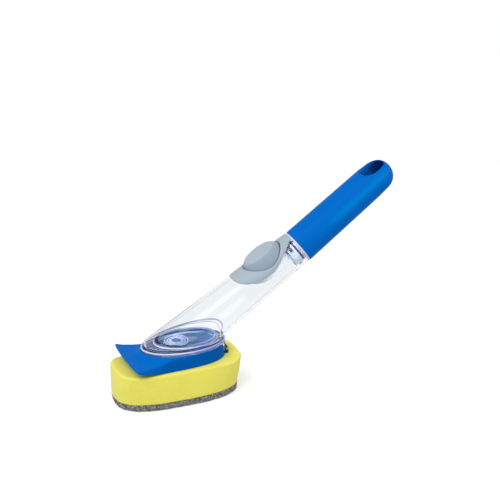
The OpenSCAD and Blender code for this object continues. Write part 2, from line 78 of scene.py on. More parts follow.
GRIP_ALONG, GRIP_UP = lean(GRIP_TILT)
TUBE_ALONG, TUBE_UP = lean(TUBE_TILT)
NECK = GRIP_START - TUBE_DROP * GRIP_ALONG
SIDE = np.array([0.0, 1.0, 0.0])


def from_grip(P):
    return GRIP_START + P[:, :1] * GRIP_ALONG + P[:, 1:2] * SIDE + P[:, 2:] * GRIP_UP


def from_tube(P):
    return NECK + P[:, :1] * TUBE_ALONG + P[:, 1:2] * SIDE + P[:, 2:] * TUBE_UP


def tone(r, g, b):
    """A screen colour, 0 to 255, as the linear colour that a shader wants."""
    out = []
    for v in (r, g, b):
        v /= 255
        out.append(v / 12.92 if v <= 0.04045 else ((v + 0.055) / 1.055) ** 2.4)
    return (*out, 1.0)


# ------------------------ mesh making

def new_object(name, data):
    """Puts an object with the given data in the scene."""
    thing = bpy.data.objects.new(name, data)
    bpy.context.scene.collection.objects.link(thing)
    return thing


def make_piece(name, points, faces, node, body, material):
    """A mesh piece in metres that rides on a body and stands for a node."""
    mesh = bpy.data.meshes.new(name)
    mesh.from_pydata((np.asarray(points) * MM).tolist(), [], [list(f) for f in faces])
    mesh.validate()
    piece = new_object(name, mesh)
    mesh.shade_smooth()
    mesh.materials.append(material)
    finish_piece(piece, node, body)
    return piece


def finish_piece(piece, node, body):
    """Hides the part of the node that a piece stands for, if any, and hangs the piece on the body it rides on."""
    if node:
        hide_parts(*([node] if isinstance(node, str) else node))
    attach(piece, body)


def face_out(mesh):
    """Turns a closed mesh right side out."""
    bm = bmesh.new()
    bm.from_mesh(mesh)
    if bm.calc_volume(signed=True) < 0:
        bmesh.ops.reverse_faces(bm, faces=bm.faces)
        bm.to_mesh(mesh)
    bm.free()


def slopes(field, P, h=0.01):
    """The slope of a field at each point, by central differences of h mm."""
    G = np.empty_like(P)
    for k in range(3):
        d = np.zeros(3)
        d[k] = h
        G[:, k] = (field(P + d) - field(P - d)) / (2 * h)
    return G


CORNERS = [(i, j, k) for i in (0, 1) for j in (0, 1) for k in (0, 1)]
CELL_EDGES = [(a, b) for a in CORNERS for b in CORNERS if a < b and sum(x != y for x, y in zip(a, b)) == 1]
LANDING_STEPS = 4
MAX_SHIFT = 0.75


def skin_of(field, low, high, step):
    """Points, faces and normals of the surface where a field of millimetres is zero.

    Each grid cell that the surface crosses gives one point, which then steps onto the surface.
    """
    low = np.array(low, float) - step * 1.37
    axes = [np.arange(low[k], high[k] + 2 * step, step) for k in range(3)]
    size = [len(a) for a in axes]
    nodes = np.stack(np.meshgrid(*axes, indexing="ij"), -1).reshape(-1, 3)
    F = field(nodes).reshape(size)
    inside = F < 0
    count = np.zeros([n - 1 for n in size], int)
    for i, j, k in CORNERS:
        count += inside[i:size[0] - 1 + i, j:size[1] - 1 + j, k:size[2] - 1 + k]
    active = (count > 0) & (count < 8)
    index = -np.ones(active.shape, int)
    cells = np.argwhere(active)
    index[active] = np.arange(len(cells))
    total = np.zeros((len(cells), 3))
    hits = np.zeros(len(cells))
    for a, b in CELL_EDGES:
        fa = F[tuple((cells + a).T)]
        fb = F[tuple((cells + b).T)]
        cross = (fa < 0) != (fb < 0)
        t = np.where(cross, fa / np.where(cross, fa - fb, 1), 0)
        spot = cells + np.array(a) + t[:, None] * (np.array(b) - np.array(a))
        total[cross] += spot[cross]
        hits += cross
    P = total / hits[:, None] * step + low
    start = P.copy()
    for _ in range(LANDING_STEPS):
        G = slopes(field, P)
        f = field(P)
        P = P - (f / np.maximum((G * G).sum(1), 0.05))[:, None] * G
        P = start + np.clip(P - start, -MAX_SHIFT * step, MAX_SHIFT * step)
    N = slopes(field, P)
    N /= np.maximum(np.linalg.norm(N, axis=1), 1e-9)[:, None]
    faces = []
    for a in range(3):
        b, c = (a + 1) % 3, (a + 2) % 3
        first = [slice(None)] * 3
        second = [slice(None)] * 3
        first[a] = slice(0, size[a] - 1)
        second[a] = slice(1, size[a])
        A, B = inside[tuple(first)], inside[tuple(second)]
        flips = np.argwhere(A != B)
        across = flips[:, [b, c]]
        flips = flips[((across > 0) & (across < [size[b] - 1, size[c] - 1])).all(1)]
        quad = []
        for ob, oc in ((-1, -1), (0, -1), (0, 0), (-1, 0)):
            q = flips.copy()
            q[:, b] += ob
            q[:, c] += oc
            quad.append(index[tuple(q.T)])
        quad = np.stack(quad, 1)
        outward = A[tuple(flips.T)]
        quad[~outward] = quad[~outward][:, ::-1]
        faces.append(quad)
    return P, np.concatenate(faces), N


def make_skin(name, field, low, high, step, place, node, body, material):
    """A piece whose surface is the zero level of a field, with that field's own normals."""
    P, faces, N = skin_of(field, low, high, step)
    piece = make_piece(name, place(P), faces, node, body, material)
    normals = place(N) - place(np.zeros((1, 3)))
    piece.data.normals_split_custom_set_from_vertices(normals.tolist())
    return piece


def as_is(P):
    return P.copy()


def ring_faces(count, n, closed=False):
    """Quads between neighbouring rings of n points; closed joins the last ring to the first."""
    faces = []
    for i in range(count if closed else count - 1):
        a, b = i * n, (i + 1) % count * n
        faces += [(a + k, a + (k + 1) % n, b + (k + 1) % n, b + k) for k in range(n)]
    return faces


def ring_piece(name, rings, node, body, material, sharp):
    """Skins a run of rings with equal point counts, whose last ring joins the first."""
    faces = ring_faces(len(rings), len(rings[0]), True)
    piece = make_piece(name, np.concatenate(rings), faces, node, body, material)
    face_out(piece.data)
    piece.data.set_sharp_from_angle(angle=math.radians(sharp))
    return piece


MERGE_WITHIN = 2e-6
FLAT_WITHIN = math.radians(0.6)


def dressed(node, name, body, material, edge, sharp=32):
    """A smooth copy of a node with its facets merged and its edges eased by edge mm."""
    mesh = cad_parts[node].data.copy()
    mesh.name = name
    mesh.materials.clear()
    bm = bmesh.new()
    bm.from_mesh(mesh)
    bmesh.ops.remove_doubles(bm, verts=bm.verts, dist=MERGE_WITHIN)
    bmesh.ops.dissolve_limit(bm, angle_limit=FLAT_WITHIN, verts=bm.verts, edges=bm.edges)
    bm.to_mesh(mesh)
    bm.free()
    piece = new_object(name, mesh)
    mesh.shade_smooth()
    mesh.materials.append(material)
    if edge:
        bevel = piece.modifiers.new("eased edges", "BEVEL")
        bevel.width = edge * MM
        bevel.segments = 2
        bevel.limit_method = "ANGLE"
        bevel.angle_limit = math.radians(sharp)
        bevel.use_clamp_overlap = False
        bevel.harden_normals = True
    else:
        mesh.set_sharp_from_angle(angle=math.radians(sharp))
    finish_piece(piece, node, body)
    return piece


def shade_points(piece, amount, name="shade"):
    """Stores how far each point of a piece takes a second tint of its material."""
    layer = piece.data.attributes.new(name, "FLOAT", "POINT")
    layer.data.foreach_set("value", np.asarray(amount, float))


def spots_of(piece):
    """The points of a piece, in millimetres."""
    return np.array([v.co for v in piece.data.vertices]) / MM


# ------------------------ field helpers

def smax(a, b, r):
    """The larger of two distances, with a rounded meeting of radius about r."""
    h = np.clip(r - np.abs(a - b), 0, None) / r
    return np.maximum(a, b) + h * h * r / 4


def ease(x, a, b):
    """Rises smoothly from 0 at a to 1 at b."""
    t = np.clip((x - a) / (b - a), 0, 1)
    return t * t * (3 - 2 * t)


def oval_gap(x, y, a, b, n=2.0):
    """About how far a point lies outside an upright superelliptic wall."""
    u, v = np.abs(x) / a, np.abs(y) / b
    rho = np.maximum(u ** n + v ** n, 1e-9) ** (1 / n)
    gx = rho ** (1 - n) * u ** (n - 1) / a
    gy = rho ** (1 - n) * v ** (n - 1) / b
    return (rho - 1) / np.maximum(np.hypot(gx, gy), 1 / (2.5 * max(np.max(a), np.max(b))))


def tube_r(x):
    """Radius of the tapered tube at a place along it; x is 0 at the neck and negative below."""
    return TUBE_R - (SHOULDER_R - TUBE_R) * x / TUBE_L


# ------------------------ shader groups

def set_inputs(tree, inputs, values):
    """Sets inputs to plain values, or links them where the value is a socket."""
    for key, value in values.items():
        if isinstance(value, bpy.types.NodeSocket):
            tree.links.new(value, inputs[key])
        else:
            inputs[key].default_value = value


def add(tree, kind, inputs=None, **settings):
    """A node with its settings and its inputs, which are values or sockets."""
    n = tree.nodes.new(kind)
    for key, value in settings.items():
        setattr(n, key, value)
    set_inputs(tree, n.inputs, inputs or {})
    return n


def new_group(name, inputs, outputs):
    """A shader group with the sockets of its input and output nodes; a tuple makes a colour input."""
    g = bpy.data.node_groups.new(name, "ShaderNodeTree")
    for label, value in inputs.items():
        kind = "NodeSocketColor" if isinstance(value, tuple) else "NodeSocketFloat"
        g.interface.new_socket(label, in_out="INPUT", socket_type=kind).default_value = value
    for label in outputs:
        kind = "NodeSocketColor" if label == "Color" else "NodeSocketFloat"
        g.interface.new_socket(label, in_out="OUTPUT", socket_type=kind)
    return g, g.nodes.new("NodeGroupInput").outputs, g.nodes.new("NodeGroupOutput").inputs


def worked(tree, operation, *values, **settings):
    """The result of a Math node on values or sockets."""
    return add(tree, "ShaderNodeMath", dict(enumerate(values)), operation=operation, **settings).outputs[0]


def noise(tree, vector, scale_from, by, detail, rough=0.55):
    scale = worked(tree, "MULTIPLY", scale_from, by)
    return add(tree, "ShaderNodeTexNoise", {"Vector": vector, "Scale": scale, "Detail": detail,
                                            "Roughness": rough}).outputs["Fac"]


def mix_values(tree, factor, a, b):
    """Maps a 0 to 1 factor onto the span from a to b."""
    return add(tree, "ShaderNodeMapRange", {"Value": factor, "To Min": a, "To Max": b}).outputs["Result"]


def stretched(tree, value, low, high):
    """Maps the span from low to high onto 0 to 1."""
    return add(tree, "ShaderNodeMapRange", {"Value": value, "From Min": low, "From Max": high}).outputs["Result"]


def mix_colours(tree, factor, a, b):
    return add(tree, "ShaderNodeMix", {"Factor": factor, "A": a, "B": b}, data_type="RGBA").outputs["Result"]


def moulded_skin_group():
    """Fine mould grain with broad cloudy changes in gloss, as on injection moulded plastic."""
    g, gin, gout = new_group(
        "moulded_skin",
        {"Grain": 900.0, "Smooth roughness": 0.2, "Worn roughness": 0.35, "Tint": (0.5, 0.5, 0.5, 1),
         "Deep tint": (0.4, 0.4, 0.4, 1)}, ("Roughness", "Height", "Color"))
    where = add(g, "ShaderNodeTexCoord").outputs["Object"]
    cloudy = noise(g, where, gin["Grain"], 0.035, 2.0)
    set_inputs(g, gout, {"Roughness": mix_values(g, cloudy, gin["Smooth roughness"], gin["Worn roughness"]),
                         "Height": noise(g, where, gin["Grain"], 1.0, 3.0),
                         "Color": mix_colours(g, cloudy, gin["Tint"], gin["Deep tint"])})
    return g


def open_cell_group():
    """Small round pores of two sizes over slow colour drift, as in cellulose and polyurethane foam."""
    g, gin, gout = new_group(
        "open_cells", {"Pores": 1500.0, "Foam": (0.8, 0.75, 0.1, 1), "Pore shade": (0.6, 0.5, 0.05, 1)},
        ("Color", "Height"))
    where = add(g, "ShaderNodeTexCoord").outputs["Object"]
    cells = []
    for by in (1.0, 0.42):
        scale = worked(g, "MULTIPLY", gin["Pores"], by)
        cells.append(add(g, "ShaderNodeTexVoronoi", {"Vector": where, "Scale": scale}).outputs["Distance"])
    both = worked(g, "MINIMUM", cells[0], worked(g, "MULTIPLY_ADD", cells[1], 1.1, 0.12))
    skin = stretched(g, both, 0.1, 0.5)
    drift = noise(g, where, gin["Pores"], 0.03, 3.0)
    shade = worked(g, "MULTIPLY_ADD", drift, 0.5, worked(g, "MULTIPLY_ADD", skin, 0.55, 0.12), use_clamp=True)
    set_inputs(g, gout, {"Color": mix_colours(g, shade, gin["Pore shade"], gin["Foam"]), "Height": skin})
    return g


def bonded_fibre_group():
    """A felt of crossing fibres with pale and dark grit, as on a scouring pad."""
    g, gin, gout = new_group(
        "bonded_fibre", {"Fineness": 900.0, "Dark": (0.05, 0.05, 0.05, 1), "Body": (0.3, 0.3, 0.3, 1),
                         "Pale": (0.6, 0.6, 0.6, 1)}, ("Color", "Height"))
    where = add(g, "ShaderNodeTexCoord").outputs["Object"]
    top = None
    for turn, stretch in (((0.3, 0.2, 0.4), (6, 0.8, 1.2)), ((0.1, 0.5, 1.6), (6, 0.9, 1)),
                          ((0.9, 0.2, 2.6), (5, 1, 0.8))):
        turned = add(g, "ShaderNodeMapping", {"Vector": where, "Rotation": turn, "Scale": stretch})
        layer = noise(g, turned.outputs["Vector"], gin["Fineness"], 0.5, 2.0)
        top = worked(g, "MAXIMUM", top, layer) if top else layer
    grit = noise(g, where, gin["Fineness"], 1.1, 4.0, 0.75)
    body = mix_colours(g, stretched(g, top, 0.48, 0.68), gin["Dark"], gin["Body"])
    set_inputs(g, gout, {"Color": mix_colours(g, stretched(g, grit, 0.54, 0.64), body, gin["Pale"]),
                         "Height": top})
    return g


MOULDED = moulded_skin_group()
OPEN_CELLS = open_cell_group()
FIBRES = bonded_fibre_group()


# ------------------------ materials

def new_material(name):
    mat = bpy.data.materials.new(name)
    mat.use_nodes = True
    return mat, mat.node_tree, mat.node_tree.nodes["Principled BSDF"]


def bumped(tree, height, strength, distance):
    """A bumped normal; the distance is in metres."""
    bump = add(tree, "ShaderNodeBump", {"Strength": strength, "Distance": distance, "Height": height})
    return bump.outputs["Normal"]


def mesh_value(tree, name):
    """What shade_points stored under a name."""
    return add(tree, "ShaderNodeAttribute", attribute_name=name).outputs["Fac"]


GRAIN_DEPTH = 0.08 * MM
PORE_DEPTH = 0.12 * MM
FELT_DEPTH = 0.4 * MM


def moulded(name, tint, deep, specular, smooth=0.3, worn=0.45, grain=900.0, relief=0.12, shaded=None,
            painted_sheen=None):
    """An opaque moulding. The mesh value shade brings in the tint shaded, mostly painted shade, and the sheen
    value brings in a painted highlight tint.
    """
    mat, tree, bsdf = new_material(name)
    skin = add(tree, "ShaderNodeGroup", {"Grain": grain, "Smooth roughness": smooth, "Worn roughness": worn,
                                         "Tint": tint, "Deep tint": deep}, node_tree=MOULDED).outputs
    colour = skin["Color"]
    for label, second in (("painted_sheen", painted_sheen), ("shade", shaded)):
        if second:
            colour = mix_colours(tree, mesh_value(tree, label), colour, second)
    set_inputs(tree, bsdf.inputs, {"Base Color": colour, "Roughness": skin["Roughness"],
                                   "Normal": bumped(tree, skin["Height"], relief, GRAIN_DEPTH),
                                   "Specular IOR Level": specular})
    return mat


def clear_plastic(name, tint, worn, ior, shadow, clearness=1.0, shaded=None, edge=None):
    """Clear moulding that lets light through to what stands behind and below it.

    The mesh value shade brings in the tint shaded, and a glancing view brings in edge, a painted dark outline
    along the rims.
    """
    mat, tree, bsdf = new_material(name)
    skin = add(tree, "ShaderNodeGroup", {"Grain": 260.0, "Smooth roughness": 0.0, "Worn roughness": worn},
               node_tree=MOULDED)
    colour = tint
    if shaded:
        colour = mix_colours(tree, mesh_value(tree, "shade"), tint, shaded)
    # Painted shade: a darker outline where the view glances along the walls.
    if edge:
        weight = add(tree, "ShaderNodeLayerWeight", {"Blend": 0.5})
        colour = mix_colours(tree, stretched(tree, weight.outputs["Facing"], 0.55, 0.88), tint, edge)
    set_inputs(tree, bsdf.inputs, {"Base Color": colour, "Roughness": skin.outputs["Roughness"],
                                   "Transmission Weight": clearness, "IOR": ior})
    path = add(tree, "ShaderNodeLightPath")
    through = add(tree, "ShaderNodeBsdfTransparent", {"Color": shadow})
    either = add(tree, "ShaderNodeMixShader", {"Fac": path.outputs["Is Shadow Ray"], 1: bsdf.outputs["BSDF"],
                                               2: through.outputs["BSDF"]})
    tree.links.new(either.outputs["Shader"], tree.nodes["Material Output"].inputs["Surface"])
    return mat


def foam_material():
    mat, tree, bsdf = new_material("yellow foam")
    cells = add(tree, "ShaderNodeGroup", {"Pores": 1700.0, "Foam": tone(247, 240, 106),
                                          "Pore shade": tone(227, 214, 76)}, node_tree=OPEN_CELLS)
    set_inputs(tree, bsdf.inputs, {"Base Color": cells.outputs["Color"], "Roughness": 0.95,
                                   "Normal": bumped(tree, cells.outputs["Height"], 0.5, PORE_DEPTH),
                                   "Specular IOR Level": 0.1, "Sheen Weight": 0.3})
    return mat


def scouring_material():
    mat, tree, bsdf = new_material("grey scouring fibre")
    felt = add(tree, "ShaderNodeGroup", {"Fineness": 1000.0, "Dark": tone(60, 59, 59), "Body": tone(148, 147, 146),
                                         "Pale": tone(244, 242, 240)}, node_tree=FIBRES)
    set_inputs(tree, bsdf.inputs, {"Base Color": felt.outputs["Color"], "Roughness": 0.9,
                                   "Normal": bumped(tree, felt.outputs["Height"], 0.8, FELT_DEPTH),
                                   "Specular IOR Level": 0.2})
    return mat


# The plate's shaded tint is painted shade on its side walls.
BLUE = moulded("blue moulded plastic", tone(0, 110, 203), tone(0, 104, 196), 0.02, 0.4, 0.52,
               shaded=tone(0, 88, 174))
# The grip's shaded tint is painted shade inside the hang hole, and its second tint is a painted highlight band.
GRIP_BLUE = moulded("blue grip plastic", tone(0, 110, 205), tone(0, 104, 198), 0.02, 0.36, 0.5,
                    shaded=tone(0, 44, 122), painted_sheen=tone(0, 128, 216))
NAVY = moulded("dark blue moulded plastic", tone(8, 42, 92), tone(4, 32, 76), 0.35)
# The button's shaded tint is painted shade on its side wall.
GREY_CAP = moulded("grey satin button", tone(172, 187, 200), tone(166, 182, 195), 0.3, 0.42, 0.56, 1400.0,
                   0.25, shaded=tone(152, 168, 183))
GREY_SKIN = moulded("grey soft skin", tone(171, 186, 198), tone(164, 180, 192), 0.25, 0.5, 0.65, 1600.0, 0.3)
CLEAR = clear_plastic("clear plastic", (0.89, 0.908, 0.918, 1), worn=0.03, ior=1.22,
                      shadow=(0.94, 0.95, 0.97, 1), edge=(0.54, 0.55, 0.58, 1))
# The foot's shaded tint is painted: a stand-in for the blue plate seen through the clear floor.
CLEAR_FOOT = clear_plastic("clear plastic foot", (0.86, 0.9, 0.99, 1), worn=0.06, ior=1.3,
                           shadow=(0.92, 0.94, 0.97, 1), clearness=0.93, shaded=(0.36, 0.64, 0.84, 1))
FILLET = moulded("pale weld fillet", tone(206, 210, 226), tone(198, 203, 222), 0.2)
CUP_WHITE = moulded("milky valve cup", tone(132, 156, 200), tone(122, 148, 192), 0.3)
RING_WHITE = moulded("milky valve ring", tone(144, 166, 206), tone(134, 158, 198), 0.3)
VALVE_RIDGE = moulded("pale valve ridge", tone(176, 194, 224), tone(164, 184, 216), 0.3)
# Painted highlight: pale beads along the clear foot's edges, with a darker shaded tint towards the rear.
FOOT_EDGE_HIGHLIGHT = moulded("painted foot edge highlight", tone(200, 210, 236), tone(188, 200, 232), 0.3, shaded=tone(132, 146, 206))
GROOVE = moulded("shaded valve groove", tone(72, 98, 158), tone(64, 90, 150), 0.2)
# Painted shade: the ring bead's shaded tint is a dark crescent on the foot's front.
RING_PAINTED_SHADE = moulded("lilac ring painted shade", tone(196, 202, 226), tone(186, 194, 220), 0.05, 0.4, 0.5,
                    shaded=tone(0, 8, 62))
SEAM = moulded("lilac weld seam", tone(168, 168, 192), tone(150, 150, 180), 0.1, shaded=tone(48, 44, 108))
WELL_WHITE = moulded("milky button well", tone(236, 240, 246), tone(228, 233, 241), 0.4)
PLUG_WHITE = moulded("milky grip plug", tone(214, 222, 240), tone(200, 210, 232), 0.5,
                     shaded=tone(34, 44, 92))
SILICONE = moulded("milky silicone", tone(214, 222, 236), tone(200, 210, 228), 0.4, 0.35, 0.5)
LIPS = moulded("silicone valve lips", tone(108, 136, 188), tone(96, 124, 178), 0.4, 0.35, 0.5)
SEAL = moulded("dark rubber seal", tone(28, 34, 52), tone(20, 24, 40), 0.4, 0.45, 0.6)
BLUE_SEAL = moulded("blue rubber seal", tone(58, 66, 124), tone(50, 58, 114), 0.4, 0.45, 0.6)
FOAM = foam_material()
SCOUR = scouring_material()


# ------------------------ sponge and pad

def superellipse(a, b, n, points):
    """A closed outline with evenly spaced points that starts on +X."""
    t = np.linspace(0, 2 * math.pi, 4001)
    c, s = np.cos(t), np.sin(t)
    P = np.stack([a * np.sign(c) * np.abs(c) ** (2 / n), b * np.sign(s) * np.abs(s) ** (2 / n)], 1)
    run = np.concatenate([[0], np.cumsum(np.linalg.norm(np.diff(P, axis=0), axis=1))])
    at = np.linspace(0, run[-1], points, endpoint=False)
    return np.stack([np.interp(at, run, P[:, 0]), np.interp(at, run, P[:, 1])], 1)


def ripples(P, size, seed):
    """Smooth pseudo-random heights, about -1 to 1, with features of a given size in mm."""
    rng = np.random.default_rng(seed)
    out = np.zeros(len(P))
    for octave in range(3):
        for _ in range(7):
            d = rng.normal(size=3)
            d *= (2 ** octave) / size / np.linalg.norm(d) * rng.uniform(2.5, 5)
            out += np.sin(P @ d + rng.uniform(0, 6.28)) / 2 ** octave
    return out / 5.5


def swollen_ends(x):
    """How far the foam stands up past the ends of the plate that presses on it."""
    return 1.0 * ease(-x, 30, 41) + 1.8 * ease(x, 35.5, 42.5)


def level(x):
    """The pad has no swollen ends."""
    return 0 * x


def soft_block(name, low, high, z0, z1, round_low, round_high, bulge, wobble, size, seed, around, up, node,
               material, puff):
    """A cut block of soft sheet: rounded rims, a slightly barrelled wall and an uneven skin.

    low and high hold the centre's x, the half length, the half width and the power of each face.
    """
    (ax, aa, ab, an), (bx, ba, bb, bn) = low, high
    bottom = superellipse(aa, ab, an, around) + [ax, 0]
    top = superellipse(ba, bb, bn, around) + [bx, 0]

    def outward(loop):
        d = np.roll(loop, -1, 0) - np.roll(loop, 1, 0)
        d = np.stack([d[:, 1], -d[:, 0]], 1)
        return d / np.linalg.norm(d, axis=1)[:, None]

    rings = []

    def ring(loop, centre, part, z):
        x = centre + (loop[:, 0] - centre) * part
        rings.append(np.column_stack([x, loop[:, 1] * part, np.full(around, z)]))

    inner = np.linspace(0.04, 1, 22)
    rim = bottom - outward(bottom) * round_low
    for part in inner:
        ring(rim, ax, part, z0)
    for t in np.linspace(0, math.pi / 2, 6)[1:]:
        loop = bottom - outward(bottom) * round_low * (1 - math.sin(t))
        ring(loop, ax, 1, z0 + round_low * (1 - math.cos(t)))
    for t in np.linspace(0, 1, up)[1:-1]:
        loop = bottom * (1 - t) + top * t
        ring(loop + outward(loop) * bulge * math.sin(math.pi * t), 0, 1,
             z0 + round_low + t * (z1 - z0 - round_low - round_high))
    for t in np.linspace(0, math.pi / 2, 8):
        loop = top - outward(top) * round_high * (1 - math.cos(t))
        ring(loop, bx, 1, z1 - round_high * (1 - math.sin(t)))
    rim = top - outward(top) * round_high
    for part in inner[::-1][1:]:
        ring(rim, bx, part, z1)
    points = np.concatenate(rings)
    faces = ring_faces(len(rings), around)
    first, last = len(points), len(points) + 1
    top_ring = first - around
    points = np.vstack([points, [ax, 0, z0], [bx, 0, z1]])
    faces += [(first, (k + 1) % around, k) for k in range(around)]
    faces += [(last, top_ring + k, top_ring + (k + 1) % around) for k in range(around)]
    mid = np.array([(ax + bx) / 2, 0, (z0 + z1) / 2])
    away = points - mid
    away[:, 2] *= 0.15
    away /= np.maximum(np.linalg.norm(away, axis=1), 1e-6)[:, None]
    side = np.clip((points[:, 2] - z0) / 0.8, 0, 1) * np.clip((z1 - points[:, 2]) / 0.8, 0, 1)
    lift = ripples(points, size, seed) * wobble
    points = points + away * (lift * (0.25 + 0.75 * side))[:, None] * np.array([1, 1, 0])
    flat = 1 - side
    dents = flat * np.abs(ripples(points, size * 1.7, seed + 1)) * wobble * 0.4
    points[:, 2] -= dents * np.sign(points[:, 2] - mid[2])
    points[:, 2] += puff(points[:, 0]) * (points[:, 2] - z0) / (z1 - z0)
    piece = make_piece(name, points, faces, node, ROOT, material)
    face_out(piece.data)
    return piece


soft_block("foam_block", low=(-1.2, 44.6, 22.6, 2.7), high=(0.0, 45.0, 21.7, 4.0), z0=PAD_TOP + 0.03, z1=25.96,
           round_low=0.5, round_high=1.7, bulge=0.35, wobble=0.22, size=9.0, seed=5, around=300, up=26,
           node="sponge", material=FOAM, puff=swollen_ends)
pad = soft_block("scouring_layer", low=(-1.0, 43.9, 22.5, 2.7), high=(-1.1, 44.3, 22.5, 2.7), z0=0.28,
                 z1=PAD_TOP, round_low=0.7, round_high=0.35, bulge=0.1, wobble=0.3, size=2.2, seed=8,
                 around=340, up=12, node="scouring_pad", material=SCOUR,
                 puff=level)

FIBRE_L = 3.2 * MM
FIBRE_R = 0.07 * MM
FIBRE_LIFT = 0.35 * MM
FIBRES_PER_M2 = 460000.0


def fibre_tuft(base):
    """Lays short bent fibres over a piece with a node tree, as a plain mesh."""
    tree = bpy.data.node_groups.new("loose fibres", "GeometryNodeTree")
    tree.interface.new_socket("Surface", in_out="INPUT", socket_type="NodeSocketGeometry")
    sizes = {}
    for label, value in (("Fibre length", FIBRE_L), ("Fibre thickness", FIBRE_R), ("Lift", FIBRE_LIFT),
                         ("Fibres per square metre", FIBRES_PER_M2)):
        s = tree.interface.new_socket(label, in_out="INPUT", socket_type="NodeSocketFloat")
        s.default_value = value
        sizes[label] = s.identifier
    tree.interface.new_socket("Fibres", in_out="OUTPUT", socket_type="NodeSocketGeometry")
    gin = tree.nodes.new("NodeGroupInput").outputs
    gout = tree.nodes.new("NodeGroupOutput").inputs
    scatter = add(tree, "GeometryNodeDistributePointsOnFaces",
                  {"Mesh": gin["Surface"], "Density": gin["Fibres per square metre"], "Seed": 4}).outputs
    half = worked(tree, "MULTIPLY", gin["Fibre length"], 0.5)
    start, end = [add(tree, "ShaderNodeCombineXYZ", {"X": x, "Z": -0.1 * MM}).outputs[0]
                  for x in (worked(tree, "MULTIPLY", half, -1), half)]
    middle = add(tree, "ShaderNodeCombineXYZ", {"Y": 0.5 * MM, "Z": gin["Lift"]}).outputs[0]
    arc = add(tree, "GeometryNodeCurveQuadraticBezier",
              {"Resolution": 4, "Start": start, "Middle": middle, "End": end})
    section = add(tree, "GeometryNodeCurvePrimitiveCircle", {"Resolution": 3, "Radius": gin["Fibre thickness"]})
    strand = add(tree, "GeometryNodeCurveToMesh",
                 {"Curve": arc.outputs["Curve"], "Profile Curve": section.outputs["Curve"]})
    spin = add(tree, "FunctionNodeRandomValue",
               {"Min": (-0.12, -0.12, 0), "Max": (0.12, 0.12, 6.28), "Seed": 11}, data_type="FLOAT_VECTOR")
    euler = add(tree, "FunctionNodeEulerToRotation", {0: spin.outputs["Value"]})
    turn = add(tree, "FunctionNodeRotateRotation", {0: scatter["Rotation"], 1: euler.outputs[0]},
               rotation_space="LOCAL")
    place = add(tree, "GeometryNodeInstanceOnPoints",
                {"Points": scatter["Points"], "Instance": strand.outputs["Mesh"], "Rotation": turn.outputs[0]})
    real = add(tree, "GeometryNodeRealizeInstances", {"Geometry": place.outputs["Instances"]})
    paint = add(tree, "GeometryNodeSetMaterial", {"Geometry": real.outputs["Geometry"], "Material": SCOUR})
    tree.links.new(paint.outputs["Geometry"], gout["Fibres"])
    carrier = new_object("fibre carrier", base.data.copy())
    mod = carrier.modifiers.new("fibres", "NODES")
    mod.node_group = tree
    mod[sizes["Fibres per square metre"]] = FIBRES_PER_M2
    ready = carrier.evaluated_get(bpy.context.evaluated_depsgraph_get())
    mesh = bpy.data.meshes.new_from_object(ready)
    bpy.data.objects.remove(carrier)
    mesh.name = "scouring_fibres"
    co = np.zeros(len(mesh.vertices) * 3)
    mesh.vertices.foreach_get("co", co)
    co = co.reshape(-1, 3)
    co[:, 2] = np.clip(co[:, 2], 0.02 * MM, (PAD_TOP + 0.3) * MM)
    mesh.vertices.foreach_set("co", co.ravel())
    piece = new_object("scouring_fibres", mesh)
    mesh.shade_smooth()
    if not mesh.materials:
        mesh.materials.append(SCOUR)
    finish_piece(piece, None, ROOT)


fibre_tuft(pad)


# ------------------------ head plate

PLATE_MID = -8.0
PLATE_A = 42.7
PLATE_B = 18.7
PLATE_TOP = 32.9
LIP_X = -36.0
LIP_BOW = 1.7
LIP_HALF = 24.3
CURL_START = -10.0
CURL_RUN = 27.7
CURL_RISE = 6.6
POCKET_FLOOR = 28.0
POCKET_A = 27.85
POCKET_B = 16.25
NOZZLE_R = 4.5
SEAT_R = 7.3
SEAL_BORE_R = 5.6
HINGE_X = 35.7
HINGE_Z = 27.3
HINGE_R = 0.85
NEARBY = 0.2


def flare_half(x):
    """Half width of the plate in front of its middle, where it flares to the scraper."""
    at = np.array([-37.7, -36.0, -33.0, -30.0, -25.0, -20.0, -15.0, -11.0, -8.0, 0.0])
    half = np.array([24.7, 24.3, 23.4, 22.4, 20.8, 19.7, 19.1, 18.8, 18.7, 18.7])
    return sum(np.interp(x + d * ease(x, -37, -34), at, half) for d in (-1.6, -0.8, 0, 0.8, 1.6)) / 5


def plate_top(x, y):
    """Height of the plate's upper face, which rises to the lip, to the rear and round the foot."""
    base = PLATE_TOP + 1.05 * ease(-x, 30, 37.5) + 3.1 * ease(x, -21, -6)
    off_foot = np.clip(oval_gap(x - FOOT_X, y, FOOT_A, FOOT_B), 0, None)
    return base + (RIM_Z - base) * np.exp(-off_foot / 2.6)


